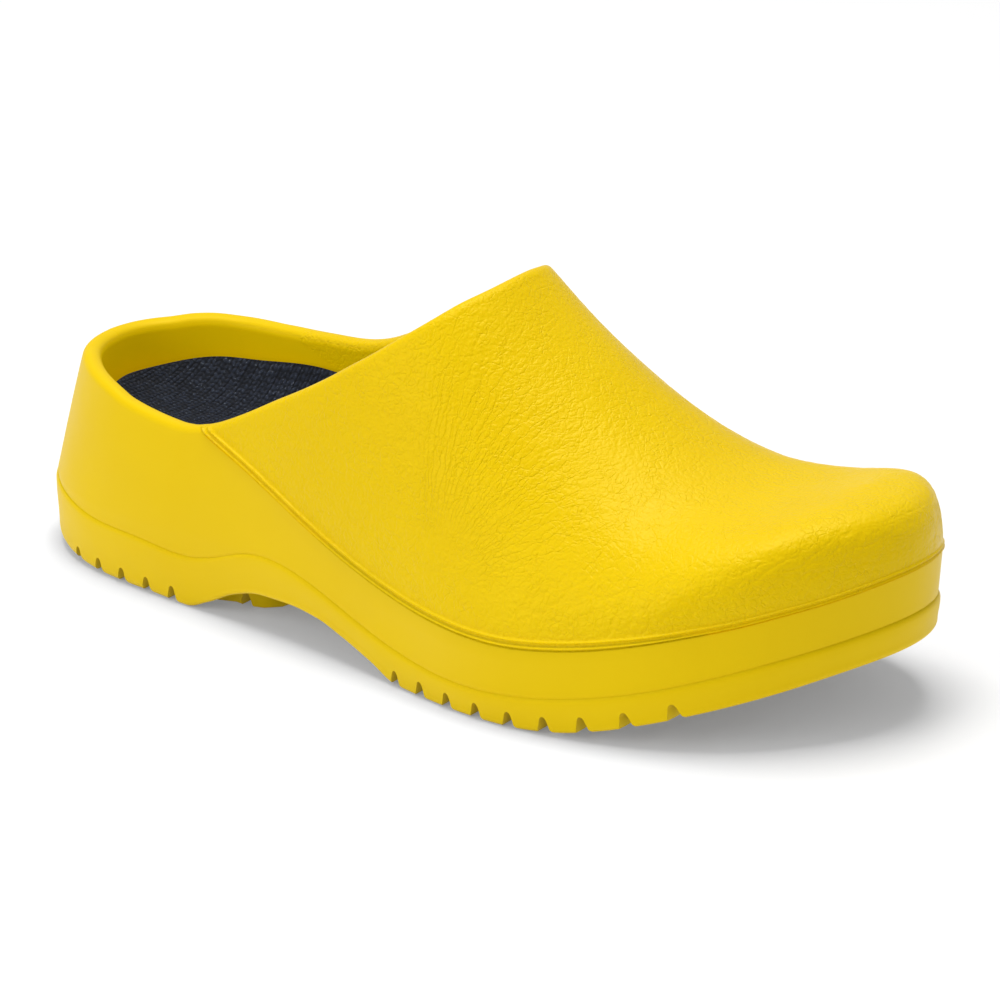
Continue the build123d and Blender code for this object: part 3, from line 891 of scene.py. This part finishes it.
def build_vamp(rear_direction):
    edges = [upper_edge(side) for side in (OUTER, INNER)]
    peak = int(round(np.mean([e[3] / e[2][-1] for e in edges]) * (COLUMNS - 1)))
    halves = [vamp_half(side, edges[side], peak) for side in (OUTER, INNER)]
    sheet, normal, x, scale, length, side = (join_halves(*pair) for pair in zip(*halves))
    rows, columns = sheet.shape[:2]
    crown = np.zeros(columns, bool)
    crown[peak:columns - peak] = True

    def mirror_crown(row):
        """Makes both sides of the crown line equal, in place."""
        row[crown] = ((row + row[::-1]) / 2)[crown]

    def finish_skin(skin):
        mirror_crown(skin[-1])
        skin[:, 0] = skin[0, 0]
        skin[:, -1] = skin[0, -1]

    sheet = relax_crown(sheet, peak)
    mirror_crown(sheet[-1])
    mean_normal = unit(normal[-1] + normal[-1][::-1], 1e-9)
    normal[-1, crown] = mean_normal[crown]
    normal[-1, [peak, columns - 1 - peak]] = mean_normal[peak]

    # bead, flare and grain
    relief = np.where(sheet[..., 0] < 40, bead_at(sheet, side), 0.0)
    far = x > 40
    relief[:BEAD_COUNT, far] = bead(BEAD_ROWS[:, None] * bead_scale(x[far])[None],
                                    np.broadcast_to(x[far], (BEAD_COUNT, far.sum())))
    relief[BEAD_COUNT:, far] = 0.0
    dist = np.vstack([
        (BEAD_ROWS - JOINT)[:, None] * scale[None],
        BEAD_SPAN * scale[None] + np.linspace(0, 1, ROWS)[1:, None] * length[None]])
    relief += flare(x, welt_z(x) + JOINT)[None] * (1 - smooth(0, 20, dist))
    to_rim = np.where(crown[None], 1.0, smooth(0.2, 3.0, dist[-1][None] - dist))
    pebbles = grain(sheet) * smooth(2.6, 4.4, dist) * to_rim
    mirror_crown(pebbles[-1])
    outer = sheet + normal * (relief + pebbles)[..., None]
    finish_skin(outer)

    grid = Grid()
    outer_ids = grid.add(outer)
    grid.quads(outer_ids)
    # the inner face needs fewer rows
    picked = np.unique(np.r_[0, BEAD_COUNT - 1,
                             np.linspace(BEAD_COUNT, rows - 1, 44).astype(int)])
    inner = sheet[picked] - normal[picked] * WALL
    finish_skin(inner)
    inner_ids = grid.add(inner)
    grid.quads(inner_ids[::-1])
    grid.quads(np.stack([outer_ids[0], inner_ids[0]]))

    # rim of the foot opening, one strip from the outer to the inner side over the throat
    loop = np.r_[np.arange(0, peak + 1), np.arange(columns - peak, columns)]
    line = sheet[-1, loop]
    line[0], line[-1] = outer[0, 0], outer[0, -1]
    direction = rim_direction(line, normal[-1, loop])
    for _ in range(6):
        direction[1:-1] = (direction[:-2] + 2 * direction[1:-1] + direction[2:]) / 4
        direction = unit(direction)
    # the end columns take over the direction used on the heel quarter
    handover = 24
    for k in range(handover):
        weight = (1 - k / handover) ** 2
        for column, rear in ((k, rear_direction[-1]), (-1 - k, rear_direction[0])):
            direction[column] = direction[column] * (1 - weight) + rear * weight
    direction = unit(direction)
    arc = rim_arc(sheet[-1, loop], inner[-1, loop], direction, side[loop])
    close_rim(grid, outer_ids[-1, loop], arc, inner_ids[-1, loop])
    vamp = grid.object("vamp_upper")

    cells, weight = fan(points_of(vamp))
    attributes = vamp.data.attributes
    attributes.new("fan", "FLOAT_VECTOR", "POINT").data.foreach_set("vector", cells.ravel())
    attributes.new("fan_weight", "FLOAT", "POINT").data.foreach_set("value", weight)
    return vamp


# ---- footbed cover --------------------------------------------------------
# plan outline (x, y): heel, outer side, toe, inner side
BED_OUTLINE = [
    (-121.4, 0), (-117.5, -12.0), (-107.4, -20.2), (-91.8, -24.1), (-62, -27.8),
    (-30, -30.6), (5, -38.4), (40, -46.8), (68, -44.2), (92, -35.6), (110, -23),
    (121.2, -7), (126.0, 10), (121.2, 25.5), (108, 34.5), (90, 38.6), (64, 40),
    (36, 37.6), (4, 29.2), (-30, 22.8), (-62, 22.7), (-91.8, 23.5), (-107.4, 20.2),
    (-117.5, 12.0)]
# stations: x, height above the floor, rise at the outer edge, rise at the inner edge
BED_STATIONS = [
    (-135, 19.5, 10.0, 14.0), (-115, 13.2, 10.5, 14.7), (-95, 9.3, 10.2, 14.8),
    (-70, 9.0, 9.0, 20.5), (-45, 9.5, 5.5, 20.0), (-20, 9.5, 2.6, 11.5),
    (5, 9.0, 1.2, 4.5), (30, 7.5, 0.6, 1.2), (55, 6.5, 0.5, 0.5), (80, 6.0, 0.4, 0.4),
    (105, 5.5, 0.4, 0.4), (135, 5.2, 0.4, 0.4)]
_bed_x, *_bed_values = zip(*BED_STATIONS)
bed_height, outer_rise, inner_rise = (spline(_bed_x, values) for values in _bed_values)
COVER_COLUMNS = 700   # heel to toe
COVER_ROWS = 190      # outer to inner edge
COVER_THICKNESS = 1.15
STITCH_X, STITCH_Y = 1.4, 1.55          # stitch pitches
STITCH_HEIGHT = 0.5


def bed_top(x, y):
    across = np.clip(np.abs(y) / 28.0, 0, 1.25)
    rise = np.where(y < 0, outer_rise(x), inner_rise(x)) * across ** 2.6
    return floor_z(x) + bed_height(x) + rise


def knit(x, y):
    """Coarse knitted face: rows of slanted stitches, height in mm."""
    points = np.stack([x.ravel(), y.ravel(), np.zeros(x.size)], -1)
    x = x + 0.18 * value_noise(points, 4.0, 3).reshape(x.shape)
    y = y + 0.22 * value_noise(points, 6.0, 4).reshape(x.shape)
    row = np.floor(x / STITCH_X)
    in_row = x / STITCH_X - row
    slant = np.where(np.mod(row, 2) == 0, 1.0, -1.0)
    phase = y / STITCH_Y + 0.55 * slant * (in_row - 0.5)
    off = np.abs(np.mod(phase, 1) - 0.5) * 2
    stitch = (np.sqrt(np.clip(1 - off * off, 0, 1))
              * np.sqrt(np.clip(1 - (2 * in_row - 1) ** 2, 0, 1)))
    row = row.astype(np.int64)
    uneven = 0.75 + 0.5 * cell_hash(row, np.floor(phase).astype(np.int64),
                                    np.zeros_like(row), 9)
    return STITCH_HEIGHT * stitch * uneven


def bed_edges():
    """Station x from heel to toe, with y of the outer and of the inner edge."""
    curve, length = closed_curve(BED_OUTLINE)
    dist = np.linspace(0, length, 24001)
    x = curve(dist)[:, 0]
    heel, toe = dist[x.argmin()], dist[x.argmax()]
    if x.argmin() > len(dist) // 2:
        heel -= length
    x = curve(np.linspace(heel, toe, COVER_COLUMNS + 1))[:, 0]
    sides = []
    for start in (heel, heel + length):
        edge = curve(np.linspace(start, toe, 8001))
        sides.append(np.interp(x, edge[:, 0], edge[:, 1]))
    outer, inner = sides
    for end in (0, -1):
        outer[end] = inner[end] = (outer[end] + inner[end]) / 2
    return x, outer, inner


def build_cover():
    edge_x, outer, inner = bed_edges()
    x = np.repeat(edge_x[:, None], COVER_ROWS + 1, 1)
    y = outer[:, None] + (inner - outer)[:, None] * np.linspace(0, 1, COVER_ROWS + 1)[None]
    z = bed_top(x, y) - 0.3
    to_edge = np.minimum(np.minimum(y - outer[:, None], inner[:, None] - y),
                         np.minimum(x - edge_x[0], edge_x[-1] - x))
    grid = Grid()
    relief = (knit(x, y) - 0.1) * smooth(0.0, 1.6, to_edge)
    top_ids = grid.add(np.stack([x, y, z + relief], -1))
    grid.quads(top_ids)
    picked = np.unique(np.linspace(0, COVER_ROWS, 16).astype(int))
    bottom_ids = grid.add(np.stack([x, y, z - COVER_THICKNESS], -1)[:, picked])
    grid.quads(bottom_ids[::-1])
    # rounded edges
    bulge = 0.3 * smooth(0, 8, np.minimum(edge_x - edge_x[0], edge_x[-1] - edge_x))
    for column, edge_y, sign in ((0, outer, -1), (-1, inner, 1)):
        rows = [top_ids[:, column]]
        for a in np.linspace(0, np.pi, 6)[1:-1]:
            drop = COVER_THICKNESS / 2 * (1 - math.cos(a))
            rows.append(grid.add(np.c_[edge_x, edge_y + bulge * math.sin(a) * sign,
                                       z[:, column] - drop]))
        rows.append(bottom_ids[:, column])
        grid.quads(np.stack(rows)[::-sign])
    cover = grid.object("footbed_textile_cover")
    x, y, _ = points_of(cover).T
    attribute = cover.data.attributes.new("knit", "FLOAT", "POINT")
    attribute.data.foreach_set("value", knit(x, y) / STITCH_HEIGHT)
    return cover


outsole = build_outsole()
sidewall, rear_direction = build_sidewall()
vamp = build_vamp(rear_direction)
cover = build_cover()


# ---- materials (lengths in metres) ----------------------------------------

class Shader:
    """A material with a Principled surface, and short ways to add nodes to it."""

    def __init__(self, name):
        self.material = bpy.data.materials.new(name)
        self.material.use_nodes = True
        self.tree = self.material.node_tree
        self.tree.nodes.clear()
        output = self.tree.nodes.new("ShaderNodeOutputMaterial")
        self.principled = self.tree.nodes.new("ShaderNodeBsdfPrincipled")
        self.tree.links.new(self.principled.outputs[0], output.inputs[0])

    def fill(self, node, inputs):
        """Links or sets each input."""
        for key, value in inputs.items():
            if isinstance(value, bpy.types.NodeSocket):
                self.tree.links.new(value, node.inputs[key])
            else:
                node.inputs[key].default_value = value

    def surface(self, inputs):
        self.fill(self.principled, inputs)

    def add(self, kind, inputs=None, **settings):
        """New node's outputs."""
        node = self.tree.nodes.new("ShaderNode" + kind)
        for key, value in settings.items():
            setattr(node, key, value)
        self.fill(node, inputs or {})
        return node.outputs

    def coords(self):
        return self.add("TexCoord")["Object"]

    def noise(self, vector, scale, detail=2.0, rough=0.5, output="Fac"):
        return self.add("TexNoise", {"Scale": scale, "Detail": detail, "Roughness": rough,
                                     "Vector": vector})[output]

    def ramp(self, factor, stops):
        """Colours at (position, rgb) stops."""
        node = self.tree.nodes.new("ShaderNodeValToRGB")
        elements = node.color_ramp.elements
        while len(elements) < len(stops):
            elements.new(0.5)
        for element, (position, colour) in zip(elements, stops):
            element.position = position
            element.color = (*colour, 1)
        self.tree.links.new(factor, node.inputs[0])
        return node.outputs[0]

    def remap(self, value, source, result, **settings):
        """Maps the source range to the result range."""
        return self.add("MapRange", {
            "From Min": source[0], "From Max": source[1],
            "To Min": result[0], "To Max": result[1], "Value": value}, **settings)["Result"]

    def bump(self, height, strength, distance, below=None):
        inputs = {"Strength": strength, "Distance": distance, "Height": height}
        if below is not None:
            inputs["Normal"] = below
        return self.add("Bump", inputs)["Normal"]

    def math(self, operation, a, b):
        return self.add("Math", {0: a, 1: b}, operation=operation)[0]

    def multiply_add(self, a, factor, c):
        return self.add("VectorMath", {0: a, 1: factor, 2: c}, operation="MULTIPLY_ADD")[0]

    def mix(self, factor, a, b, **settings):
        return self.add("Mix", {0: factor, 6: a, 7: b}, data_type="RGBA", **settings)[2]

    def cell_lines(self, vector, scale, width, dims="3D"):
        """1 on the borders between cells, 0 inside them."""
        edge = self.add("TexVoronoi", {"Scale": scale, "Vector": vector},
                        voronoi_dimensions=dims, feature="DISTANCE_TO_EDGE")
        return self.remap(edge["Distance"], (0.0, width), (1.0, 0.0),
                          interpolation_type="SMOOTHSTEP")


def grain_bump(shader, co, below):
    """Fine part of the leather grain: crease lines and pebbles too small for the mesh."""
    wobble = shader.noise(co, scale=280.0, output="Color")
    warped = shader.multiply_add(wobble, (0.0022, 0.0022, 0.0022), co)
    large = shader.cell_lines(warped, scale=235.0, width=0.10)
    small = shader.cell_lines(warped, scale=520.0, width=0.16)
    large_amp = shader.remap(shader.noise(co, scale=70.0), (0.42, 0.6), (0.05, 0.7))
    small_amp = shader.remap(shader.noise(co, scale=110.0), (0.38, 0.62), (0.25, 1.0))
    cells = shader.add("Attribute", attribute_name="fan")["Vector"]
    weight = shader.add("Attribute", attribute_name="fan_weight")["Fac"]
    fan_cells = shader.multiply_add(wobble, (1.3, 1.0, 0.0), cells)
    creases = shader.cell_lines(fan_cells, scale=1.0, width=0.11, dims="2D")
    pebbles = shader.add("TexVoronoi", {"Scale": 1050.0, "Vector": warped},
                         feature="SMOOTH_F1")["Distance"]
    # layers (pattern, depth), added up
    layers = ((shader.math("MULTIPLY", large, large_amp), -0.6),
              (shader.math("MULTIPLY", small, small_amp), -0.50),
              (shader.math("MULTIPLY", creases, weight), -0.55),
              (pebbles, -1.0))
    height = None
    for pattern, depth in layers:
        layer = shader.math("MULTIPLY", pattern, depth)
        height = layer if height is None else shader.math("ADD", height, layer)
    return shader.bump(height, strength=0.85, distance=0.00017, below=below)


def inner_heel_painted_light(shader, geometry):
    """Strength of a faint glow on the inner face of the heel wall: painted light that stands in
    for fill light there, as the wall is else too dark.
    """
    x, y, z = shader.add("SeparateXYZ", {0: geometry["Position"]})
    # outward direction in plan, from a centre line that ends in the heel
    outward_x = shader.math("MINIMUM", shader.math("ADD", x, 0.085), 0.0)
    outward_y = shader.math("SUBTRACT", y, 0.004)
    outward = shader.add("CombineXYZ", {0: outward_x, 1: outward_y})[0]
    outward = shader.add("VectorMath", {0: outward}, operation="NORMALIZE")[0]
    facing = shader.add("VectorMath", {0: outward, 1: geometry["Normal"]},
                        operation="DOT_PRODUCT")["Value"]
    inner = shader.remap(facing, (-0.25, -0.85), (0.0, 1.0))
    above_floor = shader.remap(z, (0.028, 0.040), (0.0, 1.0))
    rear = shader.remap(x, (-0.01, -0.05), (0.0, 1.0))
    glow = shader.math("MULTIPLY", shader.math("MULTIPLY", inner, above_floor), rear)
    normal_z = shader.add("SeparateXYZ", {0: geometry["Normal"]})[2]
    upright = shader.remap(normal_z, (0.12, 0.50), (1.0, 0.0))
    return shader.math("MULTIPLY", shader.math("MULTIPLY", glow, upright), 0.20)


def foam(name, rough, fine, leather=False):
    """Yellow foam rubber; fine is the strength of its bumps."""
    shader = Shader(name)
    co = shader.coords()
    yellow = shader.ramp(shader.noise(co, scale=18.0, detail=3.0),
                         [(0.3, (0.83, 0.560, 0.0006)), (0.7, (0.87, 0.600, 0.0010))])
    # painted shade: diffuse rays see the low underside as dark grey, not yellow, so bounce light
    # onto the floor stays neutral and its shadow darker
    geometry = shader.add("NewGeometry")
    incoming_z = shader.add("SeparateXYZ", {0: geometry["Incoming"]})[2]
    position_z = shader.add("SeparateXYZ", {0: geometry["Position"]})[2]
    underside = shader.math("MULTIPLY", shader.math("LESS_THAN", incoming_z, 0.0),
                            shader.math("LESS_THAN", position_z, 0.034))
    diffuse = shader.add("LightPath")["Is Diffuse Ray"]
    painted_grey_bounce = shader.math("MULTIPLY", underside, diffuse)
    dull = shader.noise(co, scale=60.0, detail=4.0, rough=0.6)
    pores = shader.noise(co, scale=1400.0, detail=3.0, rough=0.6)
    waves = shader.noise(co, scale=260.0, detail=3.0, rough=0.55)
    normal = shader.bump(pores, strength=fine, distance=0.00008)
    normal = shader.bump(waves, strength=fine * 0.7, distance=0.00016, below=normal)
    if leather:
        normal = grain_bump(shader, co, normal)
    shader.surface({
        # painted shade: grey for diffuse rays under the sole
        "Base Color": shader.mix(painted_grey_bounce, yellow, (0.32, 0.32, 0.32, 1)),
        "Roughness": shader.remap(dull, (0.3, 0.7), (rough - 0.05, rough + 0.06)),
        "Normal": normal,
        # painted light: a faint yellow glow on the inner heel wall
        "Emission Strength": inner_heel_painted_light(shader, geometry),
        "Emission Color": (1.0, 0.72, 0.0, 1),
        "Subsurface Weight": 0.04,
        "Subsurface Radius": (0.004, 0.0025, 0.0004),
        "Subsurface Scale": 1.0,
        "Specular IOR Level": 0.30,
        "Specular Tint": (1.0, 0.80, 0.20, 1)})
    return shader.material


def textile():
    """Dark navy knit, flecked, with painted highlights on the stitch tops and painted shade
    between the stitches.
    """
    shader = Shader("knitted_textile")
    co = shader.coords()
    fleck = shader.noise(co, scale=1500.0, rough=0.7)
    patches = shader.noise(co, scale=90.0, detail=3.0, rough=0.6)
    stitch = shader.add("Attribute", attribute_name="knit")["Fac"]
    navy = shader.ramp(fleck, [(0.35, (0.0045, 0.006, 0.011)), (0.62, (0.010, 0.013, 0.021)),
                               (0.78, (0.075, 0.085, 0.105))])
    tint = shader.ramp(patches, [(0.3, (0.75, 0.75, 0.78)), (0.75, (1.25, 1.25, 1.2))])
    # painted light: the stitch tops lighter, the low parts between the stitches darker
    painted_stitch_shading = shader.ramp(stitch, [(0.25, (0.25, 0.25, 0.27)), (0.6, (1.1, 1.1, 1.1)),
                                (0.95, (2.6, 2.6, 2.6))])
    colour = shader.mix(1.0, navy, tint, blend_type="MULTIPLY")
    shader.surface({
        "Base Color": shader.mix(1.0, colour, painted_stitch_shading, blend_type="MULTIPLY"),
        "Roughness": 0.82,
        "Sheen Weight": 0.10,
        "Specular IOR Level": 0.15,
        "Sheen Roughness": 0.5,
        "Sheen Tint": (0.55, 0.62, 0.75, 1),
        "Normal": shader.bump(fleck, strength=0.8, distance=0.0002)})
    return shader.material


def jute():
    """Plain weave of two crossing sets of bands."""
    shader = Shader("jute_weave")
    co = shader.coords()
    bands = [shader.add("TexWave", {"Scale": 180.0, "Distortion": 1.2, "Vector": co},
                        wave_type="BANDS", bands_direction=axis)["Fac"] for axis in "XY"]
    weave = shader.math("MAXIMUM", *bands)
    shader.surface({
        "Base Color": shader.ramp(weave, [(0.2, (0.16, 0.10, 0.05)),
                                          (0.8, (0.42, 0.30, 0.16))]),
        "Roughness": 0.9,
        "Normal": shader.bump(weave, strength=0.8, distance=0.0004)})
    return shader.material


def cork():
    """Cork granules, one shade per cell."""
    shader = Shader("cork_latex")
    cells = shader.add("TexVoronoi", {"Scale": 420.0, "Vector": shader.coords()})
    shade_of_cell = shader.add("SeparateColor", {0: cells["Color"]})[0]
    shader.surface({
        "Base Color": shader.ramp(shade_of_cell, [
            (0.1, (0.12, 0.06, 0.025)), (0.5, (0.33, 0.19, 0.085)), (0.9, (0.50, 0.32, 0.16))]),
        "Roughness": 0.85,
        "Normal": shader.bump(cells["Distance"], strength=0.6, distance=0.0005)})
    return shader.material


def set_material(obj, material):
    obj.data.materials.clear()
    obj.data.materials.append(material)


vamp_foam = foam("foam_rubber_grained", rough=0.38, fine=0.35, leather=True)
side_foam = foam("foam_rubber_smooth", rough=0.46, fine=0.22)
sole_foam = foam("foam_rubber_sole", rough=0.50, fine=0.28)
knitted, woven, granules = textile(), jute(), cork()

# object, material, CAD piece it moves with, CAD piece it replaces, material slot
PIECES = (
    (vamp, vamp_foam, "shell", "vamp", "upper_foam_rubber"),
    (sidewall, side_foam, "shell", "heel_quarter_sidewall", "sidewall_foam_rubber"),
    (outsole, sole_foam, "shell", "outsole", "outsole_foam_rubber"),
    (cover, knitted, "footbed", "footbed_cover", "textile"))
for piece, material, carrier, replaced, slot in PIECES:
    set_material(piece, material)
    for face in piece.data.polygons:
        face.material_index = 0
    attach(piece, carrier)
    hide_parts(replaced)
for name, material in (("footbed_upper_jute", woven), ("footbed_lower_jute", woven),
                       ("footbed_core", granules)):
    set_material(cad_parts[name], material)


# ---- stage (metres) -------------------------------------------------------
scene = bpy.context.scene


def add_floor(half=6):
    mesh = bpy.data.meshes.new("floor")
    corners = [(-half, -half, 0), (half, -half, 0), (half, half, 0), (-half, half, 0)]
    mesh.from_pydata(corners, [], [(0, 1, 2, 3)])
    floor = bpy.data.objects.new("floor", mesh)
    scene.collection.objects.link(floor)
    shader = Shader("pale_floor")
    shader.surface({"Base Color": (0.84, 0.84, 0.84, 1), "Roughness": 0.9,
                    "Specular IOR Level": 0.0, "Emission Color": (1, 1, 1, 1),
                    "Emission Strength": 0.15})
    mesh.materials.append(shader.material)


def add_world():
    world = bpy.data.worlds.new("studio")
    scene.world = world
    world.use_nodes = True
    background = world.node_tree.nodes["Background"]
    background.inputs["Color"].default_value = (1, 1, 1, 1)
    background.inputs["Strength"].default_value = 0.38


def add_light(name, place, target, size, power):
    light = bpy.data.lights.new(name, "AREA")
    light.shape = "SQUARE"
    light.size = size
    light.energy = power
    light.color = (1, 1, 1)
    obj = bpy.data.objects.new(name, light)
    scene.collection.objects.link(obj)
    obj.location = place
    aim = Vector(target) - Vector(place)
    obj.rotation_euler = aim.to_track_quat("-Z", "Y").to_euler()


def add_camera():
    turn, tilt = math.radians(36), math.radians(21.5)
    distance, aim_height = 1600.0, 40           # mm
    shift_right, shift_up = 6.7, -4.8           # mm, in the view
    right = Vector((math.cos(turn), math.sin(turn), 0))
    up = Vector((-math.sin(turn) * math.sin(tilt), math.cos(turn) * math.sin(tilt),
                 math.cos(tilt)))
    back = Vector((math.sin(turn) * math.cos(tilt), -math.cos(turn) * math.cos(tilt),
                   math.sin(tilt)))
    target = Vector((AXIS_ORIGIN[0], AXIS_ORIGIN[1], aim_height))
    target = target + right * shift_right + up * shift_up
    data = bpy.data.cameras.new("camera")
    camera = bpy.data.objects.new("camera", data)
    scene.collection.objects.link(camera)
    camera.location = (target + back * distance) * MM
    camera.rotation_euler = (-back).to_track_quat("-Z", "Y").to_euler()
    data.sensor_width = 36
    data.lens = 5.905 * 36                      # focal length in sensor widths
    data.clip_start = 0.05
    scene.camera = camera


add_floor()
add_world()
add_light("key", place=(-0.11, 0.08, 1.5), target=(0, 0, 0.03), size=0.9, power=17.5)
add_light("fill", place=(-0.62, -1.45, 0.80), target=(0, 0, 0.04), size=1.0, power=7.0)
add_camera()
scene.view_settings.view_transform = "Standard"
scene.view_settings.look = "None"
scene.view_settings.exposure = 0.0
